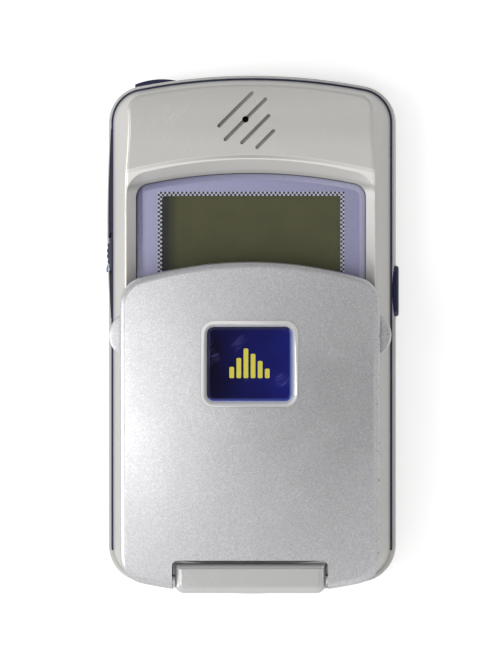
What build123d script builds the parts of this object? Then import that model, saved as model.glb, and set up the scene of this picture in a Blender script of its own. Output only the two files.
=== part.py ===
from build123d import *

import os

# Compact music phone with a flip over its keypad, lying on its back and closed.
# X runs to the phone's right, Y to its top end and Z out of its face, in millimetres.
# The origin lies under the middle of the phone, on the surface that it rests on.

# ---- lengths along the phone's face, from its top end down ----
brow_depth = 16.6        # brow, down to the display lens
mask_head = 3.9          # printed frame over the window
window_length = 21.6
mask_foot = 3.1          # printed frame under the window
pad_head = 2.7           # from the lens to the function keys
function_depth = 4.2
function_gap = 2.4
key_depth = 4.6
row_gap = 1.8
pad_tail = 3.2           # from the last keys to the end of the recess
tail_depth = 6.5         # end of the phone that carries the hinge

# ---- widths across the phone's face ----
window_width = 30.2
mask_side = 4.4          # printed frame beside the window
rail_width = 4.8         # side rails beside the recess floor
pad_side = 1.6
key_gap = 2.0

# ---- outline of the body, seen from the front ----
top_arc = 100.0          # radius of the arched top end
bottom_arc = 90.0        # radius of the arched bottom end
shoulder_radius = 6.2    # corners of the body
rear_step = 0.45         # middle frame inside the rear housing
seam_step = 0.33         # front housing inside the middle frame
seam_tail = 7.4          # the seam ends this far from the bottom end
side_proud = 0.6         # how far the keys on both sides stand out

# ---- heights, from the back up ----
bay_height = 6.0         # battery bay
bay_floor = 1.6
room_height = 4.15       # from the bay floor to the main board
ledge_depth = 0.15       # the board lies this far below the rear housing's rim
seam_height = 0.6        # middle frame between the housings
board_thickness = 1.0
dome_thickness = 0.3
mat_thickness = 1.2
key_travel = 0.35
flange_thickness = 0.7
plate = 1.5              # recess floor that holds the lens and the keypad
rail_rise = 2.0          # side rails above the recess floor
brow_rise = 3.7          # crown of the brow above the recess floor
brow_fall = 1.6          # from its crown to the top end
brow_foot = 5.0          # the brow starts to rise this far under the recess's head
brow_back = 10.0         # crown of the brow, from the top end
brow_end_slope = 0.4
flip_lift = 0.15         # gap between the rails and the closed flip
flip_rise = 4.9          # crown of the flip above its underside

# ---- walls, edges and clearances ----
wall = 1.5
back_wall = 1.6
ledge_width = 1.2        # ledge that the board lies on
side_lean = 0.347        # inward run of the front housing's sides for each unit of height
end_lean = 0.33          # share of that lean at both ends
front_edge = 0.7         # rounding round the front housing
back_edge = 3.4          # rounding round the back
seat_gap = 0.05          # pieces seated in a pocket
slide_gap = 0.15         # pieces that slide or turn
film = 0.15
past_reach = 6.0         # cutting shapes run this far past the outline

# ---- recess and display ----
recess_arc = 87.0
recess_corner = 2.4
recess_slope = 0.775     # sideways run of the recess wall for each unit of height
lens_thickness = 1.0
lens_drop = 0.05         # lens below the edge of its seat
lens_gap = 0.15
lens_bevel = 1.1         # width of the bevel round the lens
lens_bevel_drop = 0.3
window_corner = 0.5
border = 0.8             # checkered border round the window
glass_margin = 1.8       # LCD glass beyond the clear window
glass_thickness = 1.1
frame_rim = 1.2

# ---- keys ----
pad_corner = 1.0
flange_rim = 0.5
key_corner = 2.0
key_proud = 1.2          # key tops above the recess floor
key_round = 0.45

# ---- flip ----
flip_side = 2.25         # flip's sides inside those of the body
flip_cover_length = 13.55  # how far the flip reaches over the lens
flip_arc = 66.0
flip_corner = 4.7
crown_back = 22.35       # highest point of the flip, from its free edge
crown_across = 186.0     # crown radius across the phone
crown_along = 235.0      # crown radius along the phone
crown_sweep = 14.0       # half the angle that the crown is swept through
flip_shell = 1.2
flip_rim = 1.15
flip_edge = 1.3
liner_thickness = 1.0
ear_side = 0.1           # tips of the ears inside the sides of the body, before rounding
ear_head = 3.8           # ears above their tips
ear_tail = 3.4           # ears below their tips
ear_tip = 1.0            # rounding of the tips
ear_back = 12.0          # middle of the ears, from the flip's free edge
ear_thickness = 1.5
ear_round = 0.5
bumper_radius = 0.42
bumper_depth = 0.47
bumper_back = 6.0

# ---- hinge ----
hinge_inset = 2.6        # hinge axis, from the bottom end
hinge_drop = 0.2         # hinge axis below the rails
knuckle_radius = 2.4
knuckle_room = 0.3
notch_half = 13.2        # cut-out of the flip round the hinge block
notch_lead = 3.2         # cut-out in front of the hinge axis
notch_corner = 1.0
block_gap = 0.45         # between the block and the sides of the cut-out
block_end = 0.25         # block stops this far short of the phone's end
block_lead = 2.65        # block in front of the hinge axis
block_rise = 2.5         # top of the block above the hinge axis
block_round = 1.2
block_corner = 1.6
line_lead = 0.7
line_width = 0.17
shaft_radius = 0.8
shaft_inset = 6.45       # end of the shaft inside the flip's side
bore_radius = 1.6        # room in the block for the spring and cam
bore_half = 10.0
cam_length = 3.6
spring_wire = 0.4
spring_turns = 4

# ---- plaque on the flip ----
plaque_back = 17.3       # middle of the plaque, from the flip's free edge
plaque_width = 14.5
plaque_length = 12.6
plaque_corner = 1.2
bezel_rim = 1.0
bezel_lip = 0.15
bezel_proud = 0.15
bezel_slope = 0.75       # height of the bezel's slope down to the plaque
plaque_sink = 0.8        # seat of the plaque below the crown
plaque_drop = 0.1        # face of the plaque below the crown
plaque_chamfer = 0.5

# ---- sound ----
ear_hole_x = -0.8
ear_hole_back = 7.6      # sound hole, from the top end
sound_hole = 0.55
slot_width = 0.6
slot_pitch = 2.37
slot_lengths = (8.4, 10.2, 7.0, 4.5)
slot_depth = 0.85        # slots below the crown of the brow
grille_wall = 1.6
receiver_radius = 4.6
receiver_height = 3.4
gasket_thickness = 0.6
gasket_width = 0.9
mic_x = 10.0
mic_radius = 1.7
mic_height = 1.7
mic_hole_radius = 0.45
speaker_radius = 5.5
speaker_x = 9.0
speaker_height = 3.5
speaker_hole = 0.55
motor_radius = 2.0
motor_length = 10.0
weight_length = 3.0
motor_side = 9.8         # start of the motor inside the body's side
motor_end = 10.0         # motor axis, from the bottom end

# ---- battery and back ----
pack_length = 58.0       # battery bay, from the bottom end
bay_gap = 0.15
cell_margin = 3.0
cell_thickness = 3.9
cell_inset = 5.0
cell_side = 2.0          # from the cell to the slide rails
case_floor = 0.9
rail_side = 6.0          # middle of the slide rails inside the sides of the body
rail_web = 1.2
rail_foot = 2.4
rail_foot_height = 0.9
rail_drop = 2.6
rail_start = 8.0
latch_half = 5.0
latch_length = 3.6
latch_back = 4.0         # middle of the latch beyond the bay
latch_travel = 1.5
latch_recess = 0.9
latch_set = 0.25
latch_corner = 0.9
latch_gap = 0.2
neck_half = 3.1
neck_depth = 1.9
foot_half = 4.5
foot_thickness = 0.7
bolt_half = 2.5
rib_pitch = 1.6
rib_width = 0.6
rib_depth = 0.2
contact_pitch = 3.0
contact_first = -12.0
contact_level = 3.5
contact_half = 0.8
contact_rise = 0.9
contact_proud = 0.1
contact_root = 0.3
terminal_depth = 0.5

# ---- card and electronics ----
sim_width = 25.0
sim_depth = 15.0
sim_thickness = 0.76
sim_back = 26.0          # middle of the card, from the head of the bay
sim_travel = 3.5
sim_room = 1.2           # depth of the card's pocket in the bay floor
sim_corner = 2.5
sim_gap = 0.3
sim_lift = 0.4
holder_metal = 0.25
holder_half = 8.0
holder_strap = 2.0
holder_lip = 1.8
holder_side = 0.7
can_left = -7.0
can_right = 17.5
can_end = 18.0           # lower end of the can, from the bottom end
can_length = 48.0
can_depth = 2.1
can_metal = 0.3
plug_half = 7.0
plug_depth = 6.0
plug_height = 3.5
plug_wall = 0.8
plug_set = 0.4
antenna_thickness = 0.5
antenna_height = 3.4
antenna_gap = 0.15
antenna_start = 4.0

# ---- screws ----
screw_side = 4.9         # screws inside the sides of the body
screw_head_end = 14.0    # upper screws, from the top end
screw_tail_end = 6.0     # lower screws, from the bottom end
screw_shank = 0.8
screw_head = 1.5
screw_sink = 1.0         # seat of the heads above the battery bay
head_height = 0.9
post_wall = 1.1
boss_wall = 1.3

# ---- side controls ----
volume_back = 36.6       # middle of the volume key, from the top end
volume_length = 8.6
volume_height = 3.2
volume_lift = 1.6        # middle of the volume key above the bay floor
volume_corner = 0.9
volume_round = 0.4
flange_width = 0.6
key_flange_metal = 0.7
scoop_radius = 26.0
scoop_depth = 0.5
scoop_rim = 0.7
power_side = 4.4         # left end of the power key inside the body's side
power_length = 7.5
power_lift = 0.8
power_height = 4.0
power_root = 3.6
power_corner_back = 1.45
power_dome_back = 0.6
power_end_back = 0.9
power_room_depth = 9.0
switch_half = 2.0
switch_depth = 1.4
switch_gap = 1.2
strip_back = 9.0         # upper end of the side strip, from the top end
strip_length = 32.2
strip_foot = 0.3         # foot of the bulge under the strip, above the battery bay
strip_inset = 0.35       # the strip inside the bulge under it
strip_under = 0.3        # the strip reaches this far under the dial
strip_depth = 1.1
strip_bulge = 0.45
dial_radius = 7.5
dial_back = 30.2         # middle of the jog dial, from the top end
dial_drop = 0.8          # top of the dial below the rim of the rear housing
dial_thickness = 2.2
dial_ribs = 48
dial_shaft = 0.8
rib_set = 0.12
rib_cut_radius = 0.3
hold_back = 32.4
hold_lift = 0.85
hold_height = 1.1
hold_length = 2.4
hold_travel = 0.9
hold_depth = 2.0
hold_gap = 0.2

# ---- values worked out from the ones above ----
window_half = window_width / 2
recess_half = window_half + mask_side
rear_half = recess_half + rail_width
front_inset = rear_step + seam_step
lens_length = mask_head + window_length + mask_foot
rows_depth = 4 * key_depth + 3 * row_gap
pad_length = pad_head + function_depth + function_gap + rows_depth + pad_tail
body_length = brow_depth + lens_length + pad_length + tail_depth
top_end = body_length / 2
bottom_end = -body_length / 2
recess_top = top_end - brow_depth
window_top = recess_top - mask_head
window_bottom = window_top - window_length
window_middle = (window_top + window_bottom) / 2
lens_bottom = window_bottom - mask_foot
function_row = lens_bottom - pad_head - function_depth / 2
first_row = function_row - (function_depth + key_depth) / 2 - function_gap
row_pitch = key_depth + row_gap
recess_bottom = bottom_end + tail_depth
key_width = (2 * recess_half - 2 * pad_side - 2 * key_gap) / 3
column_pitch = key_width + key_gap
columns = (-column_pitch, 0, column_pitch)

bay_top = bay_height + bay_floor
board_height = bay_top + room_height
rear_height = board_height + ledge_depth
front_base = rear_height + seam_height
board_top = board_height + board_thickness
mat_base = board_top + dome_thickness
mat_top = mat_base + mat_thickness
flange_top = mat_top + seat_gap + key_travel + flange_thickness
plate_base = flange_top + seat_gap
floor_height = plate_base + plate
rail_height = floor_height + rail_rise
brow_height = floor_height + brow_rise
key_top = floor_height + key_proud
flip_base = rail_height + flip_lift
flip_crown = flip_base + flip_rise
receiver_top = brow_height - grille_wall
lens_top = floor_height - lens_drop
lens_base = lens_top - lens_thickness
mask_base = lens_base - film
glass_top = plate_base - seat_gap
glass_base = glass_top - glass_thickness
glass_half = window_half + glass_margin

room_inset = front_inset + wall
ledge_inset = room_inset + ledge_width
ledge_half = rear_half - ledge_inset
seam_end = bottom_end + seam_tail
brow_start = recess_top - brow_foot
bay_end = bottom_end + pack_length
end_wall = bay_end + wall
past_end = top_end + 1
past_side = rear_half + past_reach

flip_half = rear_half - flip_side
flip_top = lens_bottom + flip_cover_length
crown_middle = flip_top - crown_back
ear_place = flip_top - ear_back
ear_reach = rear_half - ear_side
plaque_place = flip_top - plaque_back
plaque_seat = flip_crown - plaque_sink
bezel_top = flip_crown + bezel_proud
plaque_top = flip_crown - plaque_drop
hinge_place = bottom_end + hinge_inset
hinge_height = rail_height - hinge_drop
notch_top = hinge_place + notch_lead
block_half = notch_half - block_gap
block_tail = bottom_end + block_end
block_head = hinge_place + block_lead
block_height = hinge_height + block_rise
shaft_half = flip_half - shaft_inset

ear_hole_y = top_end - ear_hole_back
motor_start = motor_side - rear_half
motor_place = bottom_end + motor_end
can_start = bottom_end + can_end
antenna_inset = ledge_inset + antenna_gap
speaker_y = top_end - screw_head_end
rail_place = rear_half - rail_side
cell_half = rail_place - rail_foot / 2 - cell_side
screw_x = rear_half - screw_side
screw_top = top_end - screw_head_end
screw_bottom = bottom_end + screw_tail_end
screw_points = [(x, y) for x in (-screw_x, screw_x) for y in (screw_bottom, screw_top)]
screw_seat = bay_height + screw_sink
screw_end = plate_base - seat_gap
latch_place = bay_end + latch_back
foot_base = back_wall + seat_gap
foot_top = foot_base + foot_thickness
foot_start = end_wall + 2 * slide_gap
sim_place = bay_end - sim_back
sim_base = bay_height + sim_lift
sim_reach = sim_depth / 2 + holder_side
volume_place = top_end - volume_back
volume_level = bay_top + volume_lift
power_left = power_side - rear_half
power_right = power_left + power_length
power_low = bay_top + power_lift - power_height / 2
power_high = power_low + power_height
strip_top = top_end - strip_back
strip_bottom = strip_top - strip_length
dial_place = top_end - dial_back
dial_low = rear_height - dial_drop - dial_thickness
dial_top = dial_low + dial_thickness
strip_low = dial_low - strip_under
strip_high = rear_height - seat_gap
dial_root = bay_top - 2 * film
dial_edge = -rear_half + strip_depth
hold_place = top_end - hold_back
hold_low = bay_height + hold_lift


# ---- shapes that the pieces share ----
def outline(half, top, bottom, corner, top_radius=top_arc, bottom_radius=bottom_arc):
    """Face with straight sides, arched ends and rounded corners."""
    face = Pos(0, (top + bottom) / 2) * Rectangle(2 * half, top - bottom + 2 * past_reach)
    face &= Pos(0, top - top_radius) * Circle(top_radius)
    face &= Pos(0, bottom + bottom_radius) * Circle(bottom_radius)
    return fillet(face.vertices(), corner)


def body_outline(inset):
    """Outline of the body, set in by an even margin."""
    corner = max(shoulder_radius - inset, 1)
    return outline(rear_half - inset, top_end - inset, bottom_end + inset, corner)


def slab(face, low, high):
    """Solid that stands on a face drawn in X and Y, between two heights."""
    return extrude(Pos(0, 0, low) * face, high - low)


def bar(width, length, corner, low, high):
    """Upright bar with rounded corners."""
    return slab(RectangleRounded(width, length, corner), low, high)


def box(x, y, z):
    """Box given by its limits along each axis."""
    middle = Pos((x[0] + x[1]) / 2, (y[0] + y[1]) / 2, (z[0] + z[1]) / 2)
    return middle * Box(x[1] - x[0], y[1] - y[0], z[1] - z[0])


def disc(radius, low, high):
    """Upright cylinder on the Z axis, between two heights."""
    return slab(Circle(radius), low, high)


def crossbar(radius, left, right):
    """Cylinder along the hinge axis, between two places across the phone."""
    plane = Plane(origin=(left, hinge_place, hinge_height), z_dir=(1, 0, 0))
    return extrude(plane * Circle(radius), right - left)


def both_sides(solid):
    """The solid together with its mirror image across the middle of the phone."""
    return solid + mirror(solid, about=Plane.YZ)


def at_screws(solid):
    """Copies of a solid at the four case screws."""
    return [Pos(x, y) * solid for x, y in screw_points]


def rim_edges(solid, low, high):
    """Edges round a solid between two heights, without those that run straight across."""
    edges = solid.edges().filter_by_position(Axis.Z, low, high)
    return edges - edges.filter_by(Axis.X)


# ---- rear housing and what it holds ----
back_shape = slab(body_outline(0), 0, rear_height)
back_shape = fillet(back_shape.faces().sort_by(Axis.Z)[0].edges(), back_edge)
bay = box((-rear_half - 1, rear_half + 1), (bottom_end - 1, bay_end), (-1, bay_height))
top_room = slab(body_outline(ledge_inset), back_wall, board_height)
top_room -= box((-rear_half, rear_half), (bottom_end, end_wall), (0, bay_top))
board_room = slab(body_outline(room_inset), board_height, rear_height + 1)


def slide_rail(room):
    """T-shaped rail that hangs from the bay floor, or the groove round it."""
    web_base = bay_height - rail_drop + rail_foot_height
    start = bottom_end + rail_start - room
    web = box(
        (rail_place - rail_web / 2 - room, rail_place + rail_web / 2 + room),
        (start, bay_end),
        (web_base - room, bay_height),
    )
    foot = box(
        (rail_place - rail_foot / 2 - room, rail_place + rail_foot / 2 + room),
        (start, bay_end),
        (bay_height - rail_drop - room, web_base + room),
    )
    return web + foot


def side_key(x, room):
    """Bar of a key on the right side that ends at x, or the hole round it."""
    face = RectangleRounded(volume_length + 2 * room, volume_height + 2 * room, volume_corner)
    start = ledge_half - seat_gap
    plane = Plane(origin=(start, volume_place, volume_level), x_dir=(0, 1, 0), z_dir=(1, 0, 0))
    return extrude(plane * face, x - start)


def power_face(room):
    """Outline of the key on the left shoulder, with a domed outer edge."""
    dome = ThreePointArc(
        (power_left - room, top_end - power_corner_back),
        ((power_left + power_right) / 2 + room, top_end - power_dome_back + room),
        (power_right + room, top_end - power_end_back),
    )
    root = top_end - power_root - flange_width
    sides = Polyline(dome @ 1, (power_right + room, root), (power_left - room, root), dome @ 0)
    return make_face(dome + sides)


dial_middle = -rear_half - strip_bulge + seat_gap + dial_radius
dial_point = Pos(dial_middle, dial_place)
dial_room = dial_point * disc(dial_radius + slide_gap, dial_low - slide_gap, dial_top + slide_gap)
dial_window = dial_point * disc(dial_radius + slide_gap, dial_low, rear_height + 1)
dial_window &= box((-past_side, dial_edge), (bottom_end, top_end), (dial_low, rear_height + 1))


def bulge(inset, low, high):
    """Slice of the bulge on the left side, between two heights and set in by a margin."""
    side = inset - rear_half
    arc = ThreePointArc(
        (side, strip_bottom), (side - strip_bulge, (strip_top + strip_bottom) / 2), (side, strip_top)
    )
    root = Polyline(arc @ 1, (dial_edge, strip_top), (dial_edge, strip_bottom), arc @ 0)
    return slab(make_face(arc + root), low, high)


side_bulge = bulge(0, bay_height + strip_foot, strip_low)
strip_shape = bulge(strip_inset, strip_low, strip_high)
strip_room = bulge(strip_inset, strip_low, rear_height + 1)
hold_room = box(
    (-rear_half - 1, hold_depth + hold_gap - rear_half),
    (hold_place - hold_length / 2 - hold_gap, hold_place + hold_length / 2 + hold_gap + hold_travel),
    (hold_low - slide_gap, hold_low + hold_height + slide_gap),
)
scoop_middle = rear_half + scoop_radius - scoop_depth
scoop_low = volume_level - volume_height / 2 - scoop_rim
scoop = Pos(scoop_middle, volume_place) * disc(scoop_radius, scoop_low, rear_height + 1)
power_hole = slab(power_face(slide_gap), power_low - slide_gap, power_high + slide_gap)
power_room = box(
    (power_left - 2 * flange_width, power_right + 2 * flange_width),
    (top_end - power_room_depth, top_end - power_root),
    (power_low - flange_width, power_high + flange_width),
)
latch_slot = box(
    (-neck_half - latch_gap, neck_half + latch_gap),
    (latch_place - neck_depth - latch_gap, latch_place + neck_depth + latch_gap + latch_travel),
    (-1, back_wall + 1),
)
latch_pocket = Pos(0, latch_place + latch_travel / 2) * bar(
    2 * latch_half + 4 * latch_gap,
    latch_length + latch_travel + 4 * latch_gap,
    latch_corner + latch_gap / 2,
    -1,
    latch_recess,
)
bolt_slot = box(
    (-bolt_half - latch_gap, bolt_half + latch_gap),
    (bay_end - 1, end_wall + 1),
    (back_wall, foot_top + slide_gap),
)
contact_places = [contact_first + step * contact_pitch for step in range(3)]
contact_bar = box(
    (-contact_half, contact_half),
    (bay_end - contact_proud, end_wall + contact_root),
    (contact_level - contact_rise, contact_level + contact_rise),
)
sim_pocket = box(
    (-sim_width / 2 - sim_gap, sim_width / 2 + sim_travel + sim_gap),
    (sim_place - sim_reach - seat_gap, sim_place + sim_reach + seat_gap),
    (bay_height - 1, bay_height + sim_room),
)
plug_room = box(
    (-plug_half - slide_gap, plug_half + slide_gap),
    (bottom_end - 1, bottom_end + plug_set + plug_depth + slide_gap),
    (bay_top - film, bay_top + plug_height + slide_gap),
)
speaker_holes = [
    Pos(speaker_x, speaker_y)
    * Rot(0, 0, turn)
    * Pos(speaker_radius / 2, 0)
    * disc(speaker_hole, -1, back_wall + 1)
    for turn in range(0, 360, 60)
]

rear_housing = back_shape + side_bulge - bay - top_room - board_room
rear_housing += both_sides(slide_rail(0))
posts = at_screws(disc(screw_head + post_wall, bay_height, board_height))
for x in (-screw_x, screw_x):
    posts.append(Pos(x, screw_top) * disc(screw_head + post_wall, back_wall / 2, board_height))
rear_housing += [post & back_shape for post in posts]
rear_housing += dial_point * disc(dial_shaft + 1, bay_top - film, dial_low - slide_gap)
rear_housing -= at_screws(disc(screw_head + 2 * seat_gap, -1, screw_seat))
rear_housing -= at_screws(disc(screw_shank + seat_gap, 0, board_height + 1))
rear_housing -= dial_point * disc(dial_shaft + seat_gap, dial_root, rear_height)
rear_housing -= [strip_room, dial_room, dial_window, hold_room, scoop, power_hole, power_room]
rear_housing -= [latch_slot, latch_pocket, bolt_slot, sim_pocket, plug_room]
rear_housing -= side_key(rear_half + 1, slide_gap)
rear_housing -= [Pos(x, 0, 0) * contact_bar for x in contact_places]
rear_housing -= speaker_holes


# ---- middle frame, which shows as the seam ----
seam_ring = slab(body_outline(rear_step), rear_height, front_base)
seam_ring -= slab(body_outline(room_inset), rear_height - 1, front_base + 1)
seam_tail_zone = box((-past_side, past_side), (bottom_end, seam_end), (rear_height, front_base))
mid_frame = seam_ring - seam_tail_zone


# ---- front housing ----
def recess_outline(run):
    """Outline of the recess, wider by a run on every side."""
    return outline(
        recess_half + run,
        recess_top + run,
        recess_bottom - run,
        recess_corner + run,
        recess_arc + run,
    )


def lens_outline(gap):
    """Outline of the display lens, set in by a gap."""
    return outline(
        recess_half - gap,
        recess_top - gap,
        lens_bottom + gap,
        recess_corner - gap,
        recess_arc - gap,
        bottom_arc * 2,
    )


def key_outline(width, depth, corner, rim):
    """Outline of a key, wider by a rim on every side."""
    return RectangleRounded(width + 2 * rim, depth + 2 * rim, corner + rim)


def leaning(inset, high):
    """Solid on the front housing's outline, set in by a margin, whose sides lean inwards."""
    lean = (high - front_base) * side_lean
    upper = outline(
        rear_half - inset - lean,
        top_end - inset - lean * end_lean,
        bottom_end + inset + lean * end_lean,
        max(shoulder_radius - inset - lean, 1),
    )
    return loft([Pos(0, 0, front_base) * body_outline(inset), Pos(0, 0, high) * upper])


brow_line = Spline(
    (brow_start, rail_height),
    (top_end - brow_back, brow_height),
    (past_end, brow_height - brow_fall),
    tangents=[(1, 0), (1, -brow_end_slope)],
)
brow_base = Polyline(
    brow_line @ 1,
    (past_end, front_base),
    (-past_end, front_base),
    (-past_end, rail_height),
    brow_line @ 0,
)
side_view = extrude(Plane.YZ * make_face(brow_line + brow_base), past_side, both=True)
front_housing = leaning(front_inset, brow_height + 1) & side_view
front_housing = fillet(rim_edges(front_housing, rail_height - seat_gap, brow_height + 1), front_edge)

funnel_rise = brow_height + 1 - floor_height
funnel = loft([
    Pos(0, 0, floor_height) * recess_outline(0),
    Pos(0, 0, floor_height + funnel_rise) * recess_outline(funnel_rise * recess_slope),
])
front_room = leaning(room_inset, plate_base)
lens_seat = slab(lens_outline(0), mask_base, floor_height + 1)
display_hole = Pos(0, window_middle) * bar(
    2 * (window_half + border), window_length + 2 * border, border, plate_base - 1, floor_height
)
block_room = box(
    (-block_half - seat_gap, block_half + seat_gap),
    (bottom_end - 1, block_head + seat_gap),
    (front_base, brow_height),
)
knuckle_reach = flip_half + knuckle_room
knuckle_seat = both_sides(crossbar(knuckle_radius + knuckle_room, block_half - seat_gap, knuckle_reach))

key_places = []
key_names = []
digit_names = ("1", "2", "3", "4", "5", "6", "7", "8", "9", "star", "0", "hash")
for place, name in enumerate(digit_names):
    key_places.append((columns[place % 3], first_row - place // 3 * row_pitch, key_depth))
    key_names.append("key_" + name)
for x, name in zip(columns, ("call", "menu", "end")):
    key_places.append((x, function_row, function_depth))
    key_names.append("key_" + name)
key_holes = [
    Pos(x, y) * slab(key_outline(key_width, depth, key_corner, slide_gap), plate_base - 1, brow_height)
    for x, y, depth in key_places
]

sound_line = Vector(1, -1).normalized() * slot_pitch
ear_slots = []
for step, length in enumerate(slot_lengths):
    middle = Vector(ear_hole_x, ear_hole_y) + sound_line * (step - 1)
    face = SlotOverall(length, slot_width, rotation=45)
    ear_slots.append(Pos(middle.X, middle.Y) * slab(face, brow_height - slot_depth, brow_height + 1))
ear_slots.append(Pos(ear_hole_x, ear_hole_y) * disc(sound_hole, receiver_top - 1, brow_height + 1))
receiver_room = Pos(ear_hole_x, ear_hole_y) * disc(receiver_radius + seat_gap, front_base, receiver_top)
mic_hole = Pos(mic_x, recess_bottom + 2 * mic_hole_radius) * disc(
    mic_hole_radius, plate_base - 1, floor_height + 1
)

front_housing -= [funnel, front_room, lens_seat, display_hole]
front_housing += seam_ring & seam_tail_zone
front_housing -= [block_room, knuckle_seat]
front_housing += at_screws(disc(screw_shank + boss_wall, board_top + seat_gap, plate_base))
front_housing -= at_screws(disc(screw_shank + seat_gap, board_top, screw_end))
front_housing -= knuckle_seat
front_housing -= key_holes + ear_slots + [receiver_room, mic_hole]


# ---- display ----
display_lens = slab(lens_outline(lens_gap), lens_base, lens_top)
lens_face = display_lens.faces().sort_by(Axis.Z)[-1]
display_lens = chamfer(lens_face.edges(), lens_bevel, lens_bevel_drop, reference=lens_face)
display_mask = slab(lens_outline(lens_gap), mask_base, lens_base)
display_mask -= Pos(0, window_middle) * bar(
    2 * window_half, window_length, window_corner, mask_base - 1, lens_base + 1
)
glass_length = window_length / 2 + glass_margin
lcd_glass = Pos(0, window_middle) * box(
    (-glass_half, glass_half),
    (-glass_length, glass_length),
    (glass_base, glass_top),
)
frame_half = glass_half + frame_rim
frame_length = glass_length + frame_rim
lcd_frame = Pos(0, window_middle) * bar(
    2 * frame_half, 2 * frame_length, pad_corner, board_top + seat_gap, glass_top
)
lcd_frame -= Pos(0, window_middle) * box(
    (-glass_half - seat_gap, glass_half + seat_gap),
    (-glass_length - seat_gap, glass_length + seat_gap),
    (glass_base, glass_top + 1),
)


# ---- board, keypad and sound ----
main_board = slab(body_outline(room_inset + 2 * seat_gap), board_height, board_top)
main_board -= at_screws(disc(screw_shank + slide_gap, board_height - 1, board_top + 1))
main_board -= box(
    (-block_half - slide_gap, block_half + slide_gap),
    (bottom_end, block_head + slide_gap),
    (board_height - 1, board_top + 1),
)
mat_head = function_row + function_depth / 2 + flange_rim + slide_gap
mat_tail = first_row - 3 * row_pitch - key_depth / 2 - flange_rim - slide_gap
mat_half = column_pitch + key_width / 2 + flange_rim
mat_outline = Pos(0, (mat_head + mat_tail) / 2) * RectangleRounded(
    2 * mat_half, mat_head - mat_tail, pad_corner
)
dome_sheet = slab(mat_outline, board_top, mat_base)
keypad_mat = slab(mat_outline, mat_base, mat_top)

keys = {}
for name, (x, y, depth) in zip(key_names, key_places):
    cap = slab(key_outline(key_width, depth, key_corner, 0), flange_top, key_top)
    cap = fillet(cap.faces().sort_by(Axis.Z)[-1].edges(), key_round)
    flange = slab(
        key_outline(key_width, depth, key_corner, flange_rim), flange_top - flange_thickness, flange_top
    )
    keys[name] = Pos(x, y) * (cap + flange)

ear_point = Pos(ear_hole_x, ear_hole_y)
gasket_base = receiver_top - gasket_thickness
receiver = ear_point * disc(receiver_radius, gasket_base - receiver_height, gasket_base)
receiver_gasket = ear_point * (
    disc(receiver_radius, gasket_base, receiver_top)
    - disc(receiver_radius - gasket_width, gasket_base - 1, receiver_top + 1)
)
mic_y = (block_head + mat_tail) / 2
microphone = Pos(mic_x, mic_y) * disc(mic_radius, flange_top - mic_height, flange_top)


# ---- flip ----
def crown(height):
    """Solid under a surface that is domed along and across the phone."""
    reach = past_side
    low = height - brow_height / 2
    fall = reach * reach / (2 * crown_across)
    arch = ThreePointArc((-reach, height - fall), (0, height), (reach, height - fall))
    base = Polyline(arch @ 1, (reach, low), (-reach, low), arch @ 0)
    plane = Plane(origin=(0, crown_middle, 0), x_dir=(1, 0, 0), z_dir=(0, -1, 0))
    pivot = Axis((0, crown_middle, height - crown_along), (1, 0, 0))
    start = (plane * make_face(arch + base)).rotate(pivot, -crown_sweep)
    return revolve(start, pivot, 2 * crown_sweep)


def flip_outline(inset):
    """Outline of the flip, set in by an even margin."""
    return outline(
        flip_half - inset,
        flip_top - inset,
        bottom_end + inset,
        flip_corner - inset,
        flip_arc - inset,
    )


flip_body = slab(flip_outline(0), hinge_height - knuckle_radius - 1, flip_crown + 1)
flip_body &= crown(flip_crown)
flip_body = fillet(rim_edges(flip_body, flip_base + 1, flip_crown + 1), flip_edge)
under_flip = box((-past_side, past_side), (bottom_end - 1, flip_top + 1), (0, flip_base))
flip_cover = flip_body - (under_flip - crossbar(knuckle_radius, -past_side, past_side))
ear_root = flip_half - flip_rim
ear_face = make_face(Polyline(
    (ear_root, ear_place + ear_head),
    (ear_root, ear_place - ear_tail),
    (ear_reach, ear_place),
    (ear_root, ear_place + ear_head),
))
ear_face = fillet(ear_face.vertices().sort_by(Axis.X)[-1], ear_tip)
ear = slab(ear_face, flip_base, flip_base + ear_thickness)
ear = fillet(ear.faces().sort_by(Axis.Z)[-1].edges(), ear_round)
flip_cover += both_sides(ear)


def notch_room(margin):
    """Room for the hinge block at the flip's hinged end, wider by a margin."""
    reach = 2 * tail_depth
    return Pos(0, notch_top + margin - reach / 2) * bar(
        2 * (notch_half + margin), reach, notch_corner + margin, 0, flip_crown + 1
    )


notch = notch_room(0)
liner_end = hinge_place + knuckle_radius + flip_rim + 2 * knuckle_room
liner_zone = box((-past_side, past_side), (liner_end, flip_top + 1), (0, flip_crown + 1))
flip_room = slab(flip_outline(flip_rim), flip_base - 1, flip_crown) & liner_zone
flip_room &= crown(flip_crown - flip_shell)
flip_room -= notch_room(flip_rim)
plaque_point = Pos(0, plaque_place)
bezel_width = plaque_width + 2 * bezel_rim
bezel_length = plaque_length + 2 * bezel_rim
bezel_corner = plaque_corner + bezel_rim
plaque_pocket = plaque_point * bar(
    bezel_width + 2 * seat_gap, bezel_length + 2 * seat_gap, bezel_corner, plaque_seat, bezel_top
)
shaft_hole = crossbar(shaft_radius + seat_gap, -shaft_half - seat_gap, shaft_half + seat_gap)
bumper_x = flip_half - flip_rim / 2
bumper_y = flip_top - bumper_back
bumper_pocket = Pos(bumper_x, bumper_y) * disc(
    bumper_radius + seat_gap / 2, flip_base - 1, flip_base + bumper_depth + seat_gap / 2
)
flip_cover -= [notch, flip_room, plaque_pocket, shaft_hole, both_sides(bumper_pocket)]
bumper = Pos(bumper_x, bumper_y) * disc(
    bumper_radius, rail_height + seat_gap / 2, flip_base + bumper_depth
)
flip_bumpers = [bumper, mirror(bumper, about=Plane.YZ)]

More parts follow.
